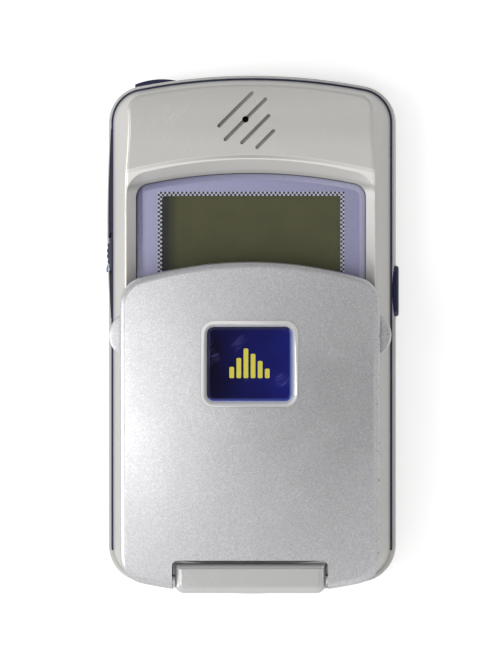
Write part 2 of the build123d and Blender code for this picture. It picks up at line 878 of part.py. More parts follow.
liner_face = slab(flip_outline(flip_rim + seat_gap), flip_base, flip_base + liner_thickness)
liner_face &= box((-past_side, past_side), (liner_end + seat_gap, flip_top + 1), (0, flip_crown + 1))
liner_face -= notch_room(flip_rim + seat_gap)
flip_liner = liner_face & crown(flip_crown - flip_shell - seat_gap)

bezel_body = bar(bezel_width, bezel_length, bezel_corner, plaque_seat, bezel_top)
bezel_body -= bar(plaque_width, plaque_length, plaque_corner, plaque_seat - 1, bezel_top + 1)
slope_run = bezel_rim - bezel_lip
bezel_body -= loft([
    Pos(0, 0, bezel_top - bezel_slope) * RectangleRounded(plaque_width, plaque_length, plaque_corner),
    Pos(0, 0, bezel_top) * RectangleRounded(
        plaque_width + 2 * slope_run, plaque_length + 2 * slope_run, plaque_corner + slope_run
    ),
])
plaque_bezel = (plaque_point * bezel_body) & crown(bezel_top)
window_body = bar(
    plaque_width - 2 * seat_gap, plaque_length - 2 * seat_gap, plaque_corner, plaque_seat, plaque_top
)
window_body = chamfer(window_body.faces().sort_by(Axis.Z)[-1].edges(), plaque_chamfer)
plaque_window = plaque_point * window_body


# ---- hinge ----
block_side = Plane.YZ * Pos((block_tail + block_head) / 2, (front_base + block_height) / 2)
hinge_block = extrude(
    block_side * Rectangle(block_head - block_tail, block_height - front_base), block_half, both=True
)
tail_edges = hinge_block.edges().filter_by(Axis.Z).sort_by(Axis.Y)[:2]
hinge_block = fillet(tail_edges, block_corner)
hinge_block = fillet(hinge_block.faces().sort_by(Axis.Z)[-1].edges(), block_round)
line_place = block_head - line_lead
hinge_block -= box(
    (-past_side, past_side),
    (line_place - line_width, line_place),
    (block_height - 2 * line_width, block_height + 1),
)
hinge_block -= crossbar(bore_radius, -bore_half, bore_half)
hinge_block -= shaft_hole
hinge_shaft = crossbar(shaft_radius, -shaft_half, shaft_half)
cam_start = bore_half - cam_length
hinge_cam = crossbar(bore_radius - seat_gap, cam_start, bore_half - seat_gap) - shaft_hole
hinge_cam -= Pos(cam_start, hinge_place, hinge_height) * Rot(45, 0, 0) * Rot(0, 45, 0) * Box(
    shaft_radius, 3 * bore_radius, shaft_radius
)
spring_radius = (shaft_radius + bore_radius) / 2
spring_length = cam_start + bore_half - spring_wire - 2 * seat_gap
spring_line = Helix(spring_length / spring_turns, spring_length, spring_radius)
spring_start = Plane(origin=spring_line @ 0, z_dir=spring_line % 0)
spring_coil = sweep(spring_start * Circle(spring_wire / 2), spring_line)
spring_place = Pos(-bore_half + spring_wire / 2 + seat_gap, hinge_place, hinge_height)
hinge_spring = spring_place * Rot(0, 90, 0) * spring_coil


# ---- battery pack ----
case_end = bay_end - bay_gap
pack_zone = box((-past_side, past_side), (bottom_end - 1, case_end), (-1, bay_height - seat_gap))
cell_front = case_end - cell_margin
cell_back = bottom_end + cell_inset
cell_box = ((-cell_half, cell_half), (cell_back, cell_front))
battery_case = (back_shape & pack_zone) - both_sides(slide_rail(slide_gap))
case_room = box(
    (-cell_half - seat_gap, cell_half + seat_gap),
    (cell_back - seat_gap, cell_front + seat_gap),
    (case_floor, bay_height),
)
terminal = box(
    (-contact_half, contact_half),
    (case_end - terminal_depth, case_end),
    (contact_level - contact_rise, contact_level + contact_rise),
)
battery_terminals = [Pos(x, 0, 0) * terminal for x in contact_places]
battery_case -= [case_room] + battery_terminals
battery_cell = box(*cell_box, (case_floor, case_floor + cell_thickness))
battery_cover = box(*cell_box, (case_floor + cell_thickness + seat_gap, bay_height - seat_gap))

latch_plate = Pos(0, latch_place) * bar(
    2 * latch_half, latch_length, latch_corner, latch_set, latch_recess
)
for rib in range(-2, 3):
    latch_plate -= Pos(rib * rib_pitch, latch_place) * box(
        (-rib_width / 2, rib_width / 2), (-latch_length / 3, latch_length / 3), (0, latch_set + rib_depth)
    )
neck_zone = (latch_place - neck_depth, latch_place + neck_depth)
latch_neck = box((-neck_half, neck_half), neck_zone, (latch_recess, foot_base))
latch_foot = box((-foot_half, foot_half), (foot_start, neck_zone[1]), (foot_base, foot_top))
latch_bolt = box((-bolt_half, bolt_half), (bay_end + slide_gap, foot_start), (foot_base, foot_top))
battery_latch = latch_plate + latch_neck + latch_foot + latch_bolt


# ---- electronics in the rear housing ----
contact_block = box(
    (-contact_half + seat_gap, contact_half - seat_gap),
    (bay_end - seat_gap, end_wall + contact_root - seat_gap),
    (contact_level - contact_rise + seat_gap, contact_level + contact_rise - seat_gap),
)
battery_contacts = [Pos(x, 0, 0) * contact_block for x in contact_places]
sim_face = Rectangle(sim_width, sim_depth)
sim_face = chamfer(sim_face.vertices().sort_by(Axis.X)[-2:].sort_by(Axis.Y)[-1], sim_corner)
sim_card = Pos(0, sim_place) * slab(sim_face, sim_base, sim_base + sim_thickness)
holder_low = sim_base - seat_gap - holder_metal
holder_high = sim_base - seat_gap
sim_holder = box((-holder_strap, holder_strap), (-sim_reach, sim_reach), (holder_low, holder_high))
for side in (-1, 1):
    lips = sorted((side * (sim_reach - holder_lip), side * sim_reach))
    legs = sorted((side * (sim_reach - 2 * holder_metal), side * sim_reach))
    sim_holder += box((-holder_half, holder_half), lips, (holder_low, holder_high))
    sim_holder += box((-holder_half, holder_half), legs, (holder_low, bay_height + sim_room))
sim_holder = Pos(0, sim_place) * sim_holder


def can_box(inset, high):
    """Box of the shield can, set in by its metal."""
    return box(
        (can_left + inset, can_right - inset),
        (can_start + inset, can_start + can_length - inset),
        (board_height - can_depth + inset, high),
    )


shield_can = can_box(0, board_height) - can_box(can_metal, board_height + 1)
loudspeaker = Pos(speaker_x, speaker_y) * disc(speaker_radius, back_wall, back_wall + speaker_height)


def motor_piece(face, start, length):
    """Length of the vibration motor along its axis."""
    plane = Plane(origin=(start, motor_place, board_height - motor_radius), z_dir=(1, 0, 0))
    return extrude(plane * face, length)


weight_radius = motor_radius - film
weight_face = Circle(weight_radius) - Pos(0, -weight_radius) * Rectangle(
    2 * motor_radius, weight_radius
)
weight_start = motor_start + motor_length + 2 * slide_gap
vibration_motor = motor_piece(Circle(motor_radius), motor_start, motor_length)
vibration_motor += motor_piece(Circle(motor_radius / 4), motor_start, motor_length + 4 * slide_gap)
vibration_motor += motor_piece(weight_face, weight_start, weight_length)


def plug_box(inset, start, length):
    """Box of the socket at the bottom end, set in by its wall."""
    return box(
        (-plug_half + inset, plug_half - inset),
        (bottom_end + start, bottom_end + start + length),
        (bay_top + inset, bay_top + plug_height - inset),
    )


system_connector = plug_box(0, plug_set, plug_depth)
system_connector -= plug_box(plug_wall, 0, plug_set + plug_depth - plug_wall)
system_connector += plug_box(2 * plug_wall, 3 * plug_set, plug_depth - 2 * plug_set)
antenna = slab(body_outline(antenna_inset), back_wall + film, back_wall + film + antenna_height)
antenna -= slab(body_outline(antenna_inset + antenna_thickness), 0, bay_top)
antenna &= box((-past_side, past_side), (screw_top + antenna_start, top_end), (0, bay_top))


# ---- keys and controls on the sides ----
volume_half = volume_length / 2
key_flange = box(
    (ledge_half - seat_gap - key_flange_metal, ledge_half - seat_gap),
    (volume_place - volume_half - flange_width, volume_place + volume_half + flange_width),
    (volume_level - volume_height / 2 + slide_gap, volume_level + volume_height / 2 + flange_width),
)
volume_bar = side_key(rear_half + side_proud, 0)
volume_bar = fillet(volume_bar.faces().sort_by(Axis.X)[-1].edges(), volume_round)
volume_key = volume_bar + key_flange
power_bar = slab(power_face(0), power_low, power_high)
power_flange = box(
    (power_left - flange_width, power_right + flange_width),
    (top_end - power_root - seat_gap - key_flange_metal, top_end - power_root - seat_gap),
    (power_low - flange_width / 2, power_high + flange_width / 2),
)
power_key = power_bar + power_flange
volume_switch = box(
    (ledge_half - switch_gap - switch_depth, ledge_half - switch_gap),
    (volume_place - switch_half, volume_place + switch_half),
    (bay_top, volume_level + volume_height / 2),
)
power_middle = (power_left + power_right) / 2
power_switch = box(
    (power_middle - switch_half, power_middle + switch_half),
    (top_end - power_root - switch_gap - switch_depth, top_end - power_root - switch_gap),
    (power_low, power_high),
)
side_switches = [volume_switch, power_switch]
side_strip = strip_shape - [dial_room, dial_window, hold_room]
jog_dial = disc(dial_radius, dial_low, dial_top) - disc(dial_shaft + seat_gap, 0, rear_height)
rib_cut = Pos(dial_radius + rib_set, 0) * disc(rib_cut_radius, dial_low - 1, dial_top + 1)
jog_dial -= [Rot(0, 0, 360 / dial_ribs * turn) * rib_cut for turn in range(dial_ribs)]
jog_dial = dial_point * jog_dial
jog_shaft = dial_point * disc(dial_shaft, dial_root, dial_top + slide_gap)
hold_front = hold_place + hold_length / 2
hold_rear = hold_place - hold_length / 2
hold_high = hold_low + hold_height
nub_root = -rear_half + strip_bulge
nub_end = -rear_half - side_proud
hold_slide = box((nub_root, hold_depth - rear_half), (hold_rear, hold_front), (hold_low, hold_high))
nub_face = make_face(Polyline(
    (nub_root, hold_rear + hold_gap),
    (nub_root, hold_front - hold_gap),
    (nub_end + 2 * hold_gap, hold_front - hold_gap),
    (nub_end, hold_place - hold_gap),
    (nub_end, hold_rear + hold_gap),
    (nub_root, hold_rear + hold_gap),
))
hold_switch = hold_slide + slab(nub_face, hold_low, hold_high)
head_base = screw_seat - head_height
case_screw = disc(screw_head, head_base, screw_seat)
case_screw -= Pos(0, 0, head_base) * Box(2 * screw_shank, screw_shank / 2, head_height)
case_screw += disc(screw_shank, screw_seat, screw_end - seat_gap)
case_screws = at_screws(case_screw)

nodes = {
    **keys,
    "rear_housing": rear_housing,
    "mid_frame": mid_frame,
    "front_housing": front_housing,
    "display_lens": display_lens,
    "display_mask": display_mask,
    "lcd_glass": lcd_glass,
    "lcd_frame": lcd_frame,
    "main_board": main_board,
    "dome_sheet": dome_sheet,
    "keypad_mat": keypad_mat,
    "receiver": receiver,
    "receiver_gasket": receiver_gasket,
    "microphone": microphone,
    "flip_cover": flip_cover,
    "flip_liner": flip_liner,
    "flip_bumpers": flip_bumpers,
    "plaque_bezel": plaque_bezel,
    "plaque_window": plaque_window,
    "hinge_block": hinge_block,
    "hinge_shaft": hinge_shaft,
    "hinge_cam": hinge_cam,
    "hinge_spring": hinge_spring,
    "battery_case": battery_case,
    "battery_cell": battery_cell,
    "battery_cover": battery_cover,
    "battery_terminals": battery_terminals,
    "battery_latch": battery_latch,
    "battery_contacts": battery_contacts,
    "sim_card": sim_card,
    "sim_holder": sim_holder,
    "shield_can": shield_can,
    "loudspeaker": loudspeaker,
    "vibration_motor": vibration_motor,
    "system_connector": system_connector,
    "antenna": antenna,
    "volume_key": volume_key,
    "power_key": power_key,
    "side_switches": side_switches,
    "side_strip": side_strip,
    "jog_dial": jog_dial,
    "jog_shaft": jog_shaft,
    "hold_switch": hold_switch,
    "case_screws": case_screws,
}
os.makedirs("parts", exist_ok=True)
for name, solid in nodes.items():
    if isinstance(solid, list):
        solid = Compound(children=solid)
    export_step(solid, "parts/" + name + ".step")
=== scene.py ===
import math
import bpy
import bmesh
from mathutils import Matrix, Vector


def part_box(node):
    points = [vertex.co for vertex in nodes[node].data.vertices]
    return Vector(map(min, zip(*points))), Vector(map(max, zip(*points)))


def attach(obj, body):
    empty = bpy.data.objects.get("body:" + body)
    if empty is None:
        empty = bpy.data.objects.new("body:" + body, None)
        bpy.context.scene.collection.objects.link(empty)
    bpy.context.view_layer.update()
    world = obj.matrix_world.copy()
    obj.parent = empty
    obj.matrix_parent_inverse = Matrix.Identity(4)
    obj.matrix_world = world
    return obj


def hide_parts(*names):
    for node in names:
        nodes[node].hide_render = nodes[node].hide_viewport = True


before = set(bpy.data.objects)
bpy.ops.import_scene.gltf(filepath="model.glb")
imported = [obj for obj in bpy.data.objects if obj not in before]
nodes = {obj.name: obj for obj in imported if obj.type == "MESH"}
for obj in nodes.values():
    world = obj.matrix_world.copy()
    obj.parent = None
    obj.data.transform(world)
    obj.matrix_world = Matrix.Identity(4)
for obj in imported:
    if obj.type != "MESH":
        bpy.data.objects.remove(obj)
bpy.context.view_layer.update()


# ---- Rear housing ----
# The back half of the body, moulded in ABS and sprayed with a satin silver paint. The battery
# case is the lower part of the back and comes from the same mould set and paint shop.
class Finish:
    """Finish of a piece, made of shader nodes that read object coordinates in metres."""

    def __init__(self, name, colour, rough, metal=0.0):
        self.material = bpy.data.materials.new(name)
        self.material.use_nodes = True
        self.material.diffuse_color = (*colour, 1)
        self.tree = self.material.node_tree
        self.shader = self.tree.nodes["Principled BSDF"]
        self.set(Base_Color=(*colour, 1), Roughness=rough, Metallic=metal)
        self.place = self.node("ShaderNodeTexCoord").outputs["Object"]
        self.relief = None

    def node(self, kind, inputs=(), **settings):
        """Adds a node with its settings, and gives or links a value to each input named."""
        made = self.tree.nodes.new(kind)
        for key, value in settings.items():
            setattr(made, key, value)
        for key, value in dict(inputs).items():
            self.join(value, made.inputs[key])
        return made

    def join(self, value, socket):
        """Links a value to a socket, or gives it to the socket when it is a constant."""
        if isinstance(value, bpy.types.NodeSocket):
            self.tree.links.new(value, socket)
        else:
            socket.default_value = value

    def set(self, **values):
        """Gives or links values to the shader's own sockets."""
        for key, value in values.items():
            self.join(value, self.shader.inputs[key.replace("_", " ")])

    def spread(self, size, stretch=(1, 1, 1), turn=(0, 0, 0)):
        """Object coordinates counted in steps of a size in metres."""
        steps = [1 / (size * part) for part in stretch]
        turned = self.node("ShaderNodeMapping", {"Vector": self.place, "Rotation": turn})
        return self.node(
            "ShaderNodeMapping", {"Vector": turned.outputs[0], "Scale": steps}
        ).outputs[0]

    def cloud(self, size, detail=2.0, stretch=(1, 1, 1), turn=(0, 0, 0)):
        """Soft mottling with patches of a size."""
        where = self.spread(size, stretch, turn)
        return self.node(
            "ShaderNodeTexNoise", {"Vector": where, "Scale": 1.0, "Detail": detail}
        ).outputs["Fac"]

    def flakes(self, size):
        """Cells of a size, each with its own grey value."""
        cells = self.node("ShaderNodeTexVoronoi", {"Vector": self.spread(size), "Scale": 1.0})
        return self.node("ShaderNodeSeparateColor", {"Color": cells.outputs["Color"]}).outputs[0]

    def ramp(self, value, low, high, start=0.0, end=1.0):
        """Carries a value from one range to another and holds it there."""
        return self.node("ShaderNodeMapRange", {
            "Value": value, "From Min": low, "From Max": high, "To Min": start, "To Max": end,
        }).outputs[0]

    def count(self, operation, first, second=0.0):
        """Result of one sum on two values."""
        return self.node(
            "ShaderNodeMath", {0: first, 1: second}, operation=operation
        ).outputs[0]

    def times(self, product, *values):
        """Product of values, which is where they all hold when they are masks."""
        for value in values:
            product = self.count("MULTIPLY", product, value)
        return product

    def mix(self, amount, first, second):
        """Colour between two colours."""
        colours = [
            value if isinstance(value, bpy.types.NodeSocket) else (*value, 1)
            for value in (first, second)
        ]
        return self.node(
            "ShaderNodeMix", {0: amount, 6: colours[0], 7: colours[1]}, data_type="RGBA"
        ).outputs[2]

    def bump(self, height, depth, strength=1.0):
        """Relief of a depth in metres, laid over the relief that is there."""
        inputs = {"Height": height, "Distance": depth, "Strength": strength}
        if self.relief is not None:
            inputs["Normal"] = self.relief
        self.relief = self.node("ShaderNodeBump", inputs).outputs[0]
        self.set(Normal=self.relief)

    def axis(self, name):
        """Place along an axis, in metres."""
        return self.node("ShaderNodeSeparateXYZ", {0: self.place}).outputs[name]

    def off(self, name, middle=0.0):
        """Distance from a middle along an axis."""
        return self.count("ABSOLUTE", self.count("SUBTRACT", self.axis(name), middle))

    def within(self, name, middle, half):
        """1 where an axis is closer to a middle than a half width, and 0 elsewhere."""
        return self.count("LESS_THAN", self.off(name, middle), half)

    def over_arch(self, radius):
        """Height of the crown of the arch of a radius that goes through the point."""
        drop = self.times(self.count("POWER", self.off("X"), 2.0), 1 / (2 * radius))
        return self.count("ADD", self.axis("Y"), drop)

    def scratches(self, turn, width=0.00006, length=0.006, share=0.72):
        """Fine hairlines that run one way, where the surface has been rubbed."""
        lines = self.cloud(width, 0.0, (1, length / width, 1), (0, 0, turn))
        fine = self.ramp(lines, share, share + 0.06)
        where = self.ramp(self.cloud(0.006, 1.0), 0.52, 0.62)
        return self.times(fine, where)


def dress(finish, *names):
    """Gives a finish to pieces of the phone."""
    for name in names:
        slots = nodes[name].data.materials
        slots.clear()
        slots.append(finish.material)


def silver_paint(name, colour, rough, metal, flake, sparkle):
    """Sprayed silver lacquer: aluminium flakes under a thin clear coat, a little worn."""
    paint = Finish(name, colour, rough, metal)
    grain = paint.flakes(flake)
    patch = paint.cloud(0.009, 3.0)
    light = [part + sparkle for part in colour]
    dark = [part - sparkle for part in colour]
    tone = paint.mix(grain, dark, light)
    worn = [part * 0.9 for part in colour]
    tone = paint.mix(paint.ramp(patch, 0.35, 0.75, 0.0, 0.12), tone, worn)
    scuffs = paint.count("ADD", paint.scratches(0.7), paint.scratches(-0.5))
    tone = paint.mix(paint.times(scuffs, 0.3), tone, [0.9, 0.9, 0.9])
    paint.set(Base_Color=tone)
    paint.set(Roughness=paint.ramp(patch, 0.3, 0.7, rough - 0.02, rough + 0.03))
    paint.bump(grain, flake * 0.05, 0.5)
    paint.bump(paint.cloud(0.0006, 2.0), 0.0000015, 0.5)
    paint.bump(scuffs, 0.000004, 0.5)
    return paint


case_paint = silver_paint("satin_silver_case", (0.6, 0.595, 0.58), 0.36, 0.4, 0.00011, 0.02)
dress(case_paint, "rear_housing", "battery_case")


# ---- Middle frame ----
# The navy ring between the two housings, moulded in coloured ABS and clamped by the screws.
# Only its edge shows, as the dark seam round the phone.
def coloured_plastic(name, colour, rough, grain=0.00035, depth=0.000006):
    """Plastic moulded in its colour, with a fine spark-eroded grain and rubbed patches."""
    plastic = Finish(name, colour, rough)
    patch = plastic.cloud(0.005, 3.0)
    rubbed = [part * 1.3 + 0.004 for part in colour]
    tone = plastic.mix(plastic.ramp(patch, 0.3, 0.75), colour, rubbed)
    plastic.set(Base_Color=tone)
    plastic.set(Roughness=plastic.ramp(patch, 0.3, 0.7, rough + 0.05, rough - 0.06))
    plastic.bump(plastic.cloud(grain, 2.0), depth)
    plastic.bump(plastic.scratches(0.4), 0.000003, 0.4)
    return plastic


navy_plastic = coloured_plastic("navy_abs", (0.007, 0.008, 0.04), 0.32)
dress(navy_plastic, "mid_frame")


# ---- Front housing ----
# The front half of the body with its brow, side rails and display recess. It is moulded in
# ABS with a smoother, warmer silver lacquer than the flip.
front_paint = silver_paint("smooth_silver_front", (0.5, 0.49, 0.468), 0.3, 0.3, 0.0001, 0.012)
low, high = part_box("front_housing")
lens_low, lens_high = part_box("display_lens")
tone = front_paint.shader.inputs["Base Color"].links[0].from_socket

# The sloped wall round the display is painted lighter, a painted highlight up to the arched crest under
# the brow.
recess_arch = 0.087
recess_half = 0.0211
brink = front_paint.over_arch(recess_arch)
crest = lens_high.y + 0.0031
soft = 0.0001
on_wall = front_paint.times(
    front_paint.count("LESS_THAN", brink, crest + soft),
    front_paint.within("X", 0.0, recess_half),
)
tone = front_paint.mix(front_paint.times(on_wall, 0.6), tone, (0.86, 0.85, 0.82))

# A painted dark line runs along the crest, and painted shade lies at the foot of the wall over the
# lens.
crest_shade_line = front_paint.times(
    front_paint.ramp(brink, crest - 0.00055, crest - 0.0004),
    front_paint.ramp(brink, crest, crest + soft, 1.0, 0.0),
    front_paint.ramp(front_paint.off("X"), 0.0, 0.0205, 0.6, 0.15),
)
foot = front_paint.times(
    front_paint.ramp(brink, lens_high.y + 0.0002, lens_high.y + 0.0009, 0.35, 0.0),
    front_paint.ramp(brink, lens_high.y - 0.0008, lens_high.y),
)
painted_crest_and_foot_shade = front_paint.times(front_paint.count("MAXIMUM", crest_shade_line, foot), on_wall)
tone = front_paint.mix(painted_crest_and_foot_shade, tone, (0.15, 0.146, 0.13))

# The floors of the earpiece slots are painted darker, as painted shade in the slots.
slots_x = -0.0008
slots_y = high.y - 0.0073
slots_half = 0.0075
slots_reach = 0.0052
slots_foot = high.z - 0.00084
slots_mouth = high.z - 0.00065
height = front_paint.axis("Z")
slot_floor_shade = front_paint.times(
    front_paint.within("X", slots_x, slots_half),
    front_paint.within("Y", slots_y, slots_reach),
    front_paint.ramp(height, slots_foot, slots_mouth, 1.0, 0.0),
)
tone = front_paint.mix(slot_floor_shade, tone, (0.3, 0.294, 0.262))
# The seat of the lens, below the lens's top, is painted dark as painted shade round the lens.
seat_play = 0.0002
seat_middle = (lens_low.y + lens_high.y) / 2
seat_half = (lens_high.y - lens_low.y) / 2 + seat_play
seat_shade = front_paint.times(
    front_paint.within("X", 0.0, lens_high.x + seat_play),
    front_paint.within("Y", seat_middle, seat_half),
    front_paint.ramp(height, lens_high.z - seat_play, lens_high.z, 1.0, 0.0),
)
front_paint.set(Base_Color=front_paint.mix(seat_shade, tone, (0.2, 0.196, 0.18)))
dress(front_paint, "front_housing")


# ---- Display ----
# A clear polycarbonate lens over a printed film, with the liquid crystal glass in a white
# frame under it. The film is lavender with two rows of black squares round the window.
square = 0.00036
glass_margin = 0.0018
glass_low, glass_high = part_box("lcd_glass")
window = [
    (glass_low.x + glass_margin, glass_high.x - glass_margin),
    (glass_low.y + glass_margin, glass_high.y - glass_margin),
]

film_arch = 0.08685
low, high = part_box("display_mask")
film = Finish("printed_film", (0.34, 0.335, 0.52), 0.45)
squares_before = 40
beyond = []
rows = []
for name, limits in zip("XY", window):
    middle = sum(limits) / 2
    half = (limits[1] - limits[0]) / 2
    beyond.append(film.count("SUBTRACT", film.off(name, middle), half))
    start = film.count("SUBTRACT", film.axis(name), limits[0] - squares_before * square)
    rows.append(film.count("FLOOR", film.count("DIVIDE", start, square)))
border = film.count("LESS_THAN", film.count("MAXIMUM", *beyond), 2 * square)
odd = film.count("MODULO", film.count("ADD", *rows), 2.0)
squares = film.mix(odd, (0.008, 0.008, 0.01), (0.75, 0.76, 0.86))

# Under the lens's wide bevel, along the sides and top, the lavender is painted a deeper violet, a
# painted shade.
rim = 0.00095
soft = 0.00012
# The lavender and the violet are painted lighter on the left than on the right, as painted light from
# the left.
shade_to_right = film.ramp(film.axis("X"), low.x, high.x)
lavender = film.mix(shade_to_right, (0.56, 0.555, 0.83), (0.37, 0.365, 0.58))
painted_violet_shade = film.mix(shade_to_right, (0.2, 0.19, 0.4), (0.3, 0.29, 0.5))
mottle = film.ramp(film.cloud(0.0003, 2.0), 0.3, 0.7, 0.0, 0.16)
lavender = film.mix(mottle, lavender, (0.8, 0.8, 0.9))
at_side = film.ramp(film.off("X"), high.x - rim - soft, high.x - rim + soft)
lavender = film.mix(at_side, lavender, painted_violet_shade)
brink = film.over_arch(film_arch)
at_top = film.ramp(brink, high.y - rim - soft, high.y - rim + soft, 0.0, 0.4)
lavender = film.mix(at_top, lavender, painted_violet_shade)
film.set(Base_Color=film.mix(border, lavender, squares))
film.bump(film.cloud(0.0002), 0.000002)


def steps_between(first, last, count):
    """Evenly spaced values from the first to the last, both among them."""
    return [first + (last - first) * step / count for step in range(count + 1)]


def arched_loop(form, half, ends, corner, arches):
    """Closed loop of edges with straight sides, arched ends and rounded corners."""
    sides = []
    for sign, end, arch in zip((1, -1), ends, arches):
        centre = end - sign * arch
        across = half - corner
        up = math.sqrt((arch - corner) ** 2 - across ** 2)
        turn = math.atan2(up, across)
        rounded = [
            (across + corner * math.cos(angle), centre + sign * (up + corner * math.sin(angle)))
            for angle in steps_between(0, turn, 10)
        ]
        arched = [
            (arch * math.cos(angle), centre + sign * arch * math.sin(angle))
            for angle in steps_between(turn, math.pi / 2, 14)
        ]
        sides.append(rounded + arched[1:])
    upper, lower = sides
    loop = upper + [(-x, y) for x, y in reversed(upper[:-1])]
    loop += [(-x, y) for x, y in lower] + list(reversed(lower[1:-1])) + [lower[0]]
    corners = [form.verts.new((x, y, 0)) for x, y in loop]
    for first, second in zip(corners, corners[1:] + corners[:1]):
        form.edges.new((first, second))


def piece_from(form, name):
    """Makes a built form a piece at the origin and leaves it alone selected."""
    shape = bpy.data.meshes.new(name)
    form.to_mesh(shape)
    form.free()
    piece = bpy.data.objects.new(name, shape)
    bpy.context.scene.collection.objects.link(piece)
    bpy.ops.object.select_all(action="DESELECT")
    bpy.context.view_layer.objects.active = piece
    piece.select_set(True)
    return piece


def thicken(depth):
    """Pulls the flat shape being edited up to a depth and turns its faces outwards."""
    bpy.ops.mesh.select_all(action="SELECT")
    bpy.ops.mesh.extrude_region_move(TRANSFORM_OT_translate={"value": (0, 0, depth)})
    bpy.ops.mesh.select_all(action="SELECT")
    bpy.ops.mesh.normals_make_consistent(inside=False)
    bpy.ops.object.mode_set(mode="OBJECT")


def settle(x, y, z):
    """Moves the selected piece to its place and keeps that place in its mesh."""
    bpy.ops.transform.translate(value=(x, y, z))
    bpy.ops.object.transform_apply(location=True, rotation=True, scale=True)


def finish_piece(piece, name, finish, body):
    """Names a finished piece, gives it its finish and lets it ride on a body."""
    piece.name = name
    piece.data.name = name
    piece.data.materials.clear()
    piece.data.materials.append(finish.material)
    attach(piece, body)
    return piece


air = 0.00002
film_corner = 0.00225
film_foot_arch = 0.17985
window_corner = 0.0005
nearly_straight = 5.0
form = bmesh.new()
arched_loop(form, high.x, (high.y, low.y), film_corner, (film_arch, film_foot_arch))
arched_loop(
    form, window[0][1], (window[1][1], window[1][0]), window_corner,
    (nearly_straight, nearly_straight),
)
piece = piece_from(form, "printed_film")
bpy.ops.object.mode_set(mode="EDIT")
bpy.ops.mesh.select_all(action="SELECT")
bpy.ops.mesh.bridge_edge_loops()
thicken(high.z - low.z - 2 * air)
settle(0, 0, low.z + air)
finish_piece(piece, "printed_film", film, "phone_body")
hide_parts("display_mask")

# The lens is drawn by its front and its bevel only. Its back lies on the film's plane, so it is
# left clear.
lens_plastic = Finish("clear_lens", (0.12, 0.12, 0.2), 0.04)
height = lens_plastic.axis("Z")
in_front = lens_plastic.count("GREATER_THAN", height, lens_low.z + 0.00003)
on_bevel = lens_plastic.count("LESS_THAN", height, lens_high.z - 0.00004)
# The bevel is painted dark on the left and pale on the right: painted shade and a painted highlight.
bevel_shade_to_highlight = lens_plastic.ramp(lens_plastic.axis("X"), lens_low.x + 0.001, lens_high.x - 0.001)
painted_bevel_light = lens_plastic.mix(bevel_shade_to_highlight, (0.2, 0.2, 0.32), (0.75, 0.75, 0.9))
lens_plastic.set(Base_Color=lens_plastic.mix(on_bevel, (0.12, 0.12, 0.2), painted_bevel_light))
glance = lens_plastic.node("ShaderNodeLayerWeight", {"Blend": 0.25}).outputs["Fresnel"]
see = lens_plastic.ramp(glance, 0.05, 0.9, 0.06, 0.9)
see = lens_plastic.count("ADD", see, lens_plastic.times(on_bevel, 0.25))
lens_plastic.set(Alpha=lens_plastic.times(see, in_front), Specular_IOR_Level=0.8)
lens_plastic.bump(lens_plastic.scratches(0.9, 0.00005, 0.005, 0.75), 0.000001, 0.5)
dress(lens_plastic, "display_lens")

lcd = Finish("liquid_crystal", (0.085, 0.085, 0.05), 0.3)
lcd.set(Specular_IOR_Level=0.08)
pixel = 0.00028
grid = []
for name in "XY":
    cells = lcd.count("FRACT", lcd.count("DIVIDE", lcd.axis(name), pixel))
    grid.append(lcd.count("LESS_THAN", cells, 0.12))
lines = lcd.count("MAXIMUM", *grid)
haze = lcd.ramp(lcd.cloud(0.0035, 3.0), 0.3, 0.7)
olive = lcd.mix(haze, (0.122, 0.124, 0.054), (0.142, 0.142, 0.064))
# A soft dark band down the left of the window is a painted shadow of the recess wall.
wall_shadow_edge = window[0][0] + 0.0021
wall_shadow = lcd.ramp(lcd.axis("X"), wall_shadow_edge - 0.0012, wall_shadow_edge + 0.0006, 1.0, 0.0)
olive = lcd.mix(wall_shadow, olive, (0.055, 0.058, 0.04))
lcd.set(Base_Color=lcd.mix(lcd.times(lines, 0.12), olive, (0.16, 0.155, 0.1)))
dress(lcd, "lcd_glass")

white_plastic = coloured_plastic("white_abs", (0.62, 0.62, 0.6), 0.4)
dress(white_plastic, "lcd_frame")


# ---- Board and keypad ----
# The glass-fibre board with its solder mask, the foil dome sheet and the silicone mat, which
# lie in layers under the keys.
board = Finish("solder_mask", (0.012, 0.09, 0.03), 0.3)
track_pitch = 0.0013
rows = board.count("FRACT", board.count("DIVIDE", board.axis("X"), track_pitch))
tracks = board.count("LESS_THAN", rows, 0.22)
runs = board.ramp(board.cloud(0.006, 0.0, (0.3, 2.5, 1)), 0.5, 0.53)
copper = board.times(tracks, runs)
board.set(Base_Color=board.mix(copper, (0.012, 0.085, 0.03), (0.03, 0.17, 0.06)))
board.bump(copper, 0.00003)
board.bump(board.cloud(0.0003), 0.000004)
dress(board, "main_board")

foil = Finish("dome_foil", (0.75, 0.74, 0.68), 0.3)
foil.set(Base_Color=foil.mix(foil.cloud(0.004), (0.62, 0.6, 0.52), (0.78, 0.77, 0.72)))
foil.bump(foil.cloud(0.0009), 0.00001)
dress(foil, "dome_sheet")

silicone = Finish("silicone_rubber", (0.2, 0.21, 0.24), 0.6)
silicone.set(Base_Color=silicone.mix(silicone.cloud(0.002, 4.0), (0.16, 0.17, 0.2), (0.24, 0.25, 0.28)))
silicone.bump(silicone.cloud(0.00025, 3.0), 0.00001)
dress(silicone, "keypad_mat")


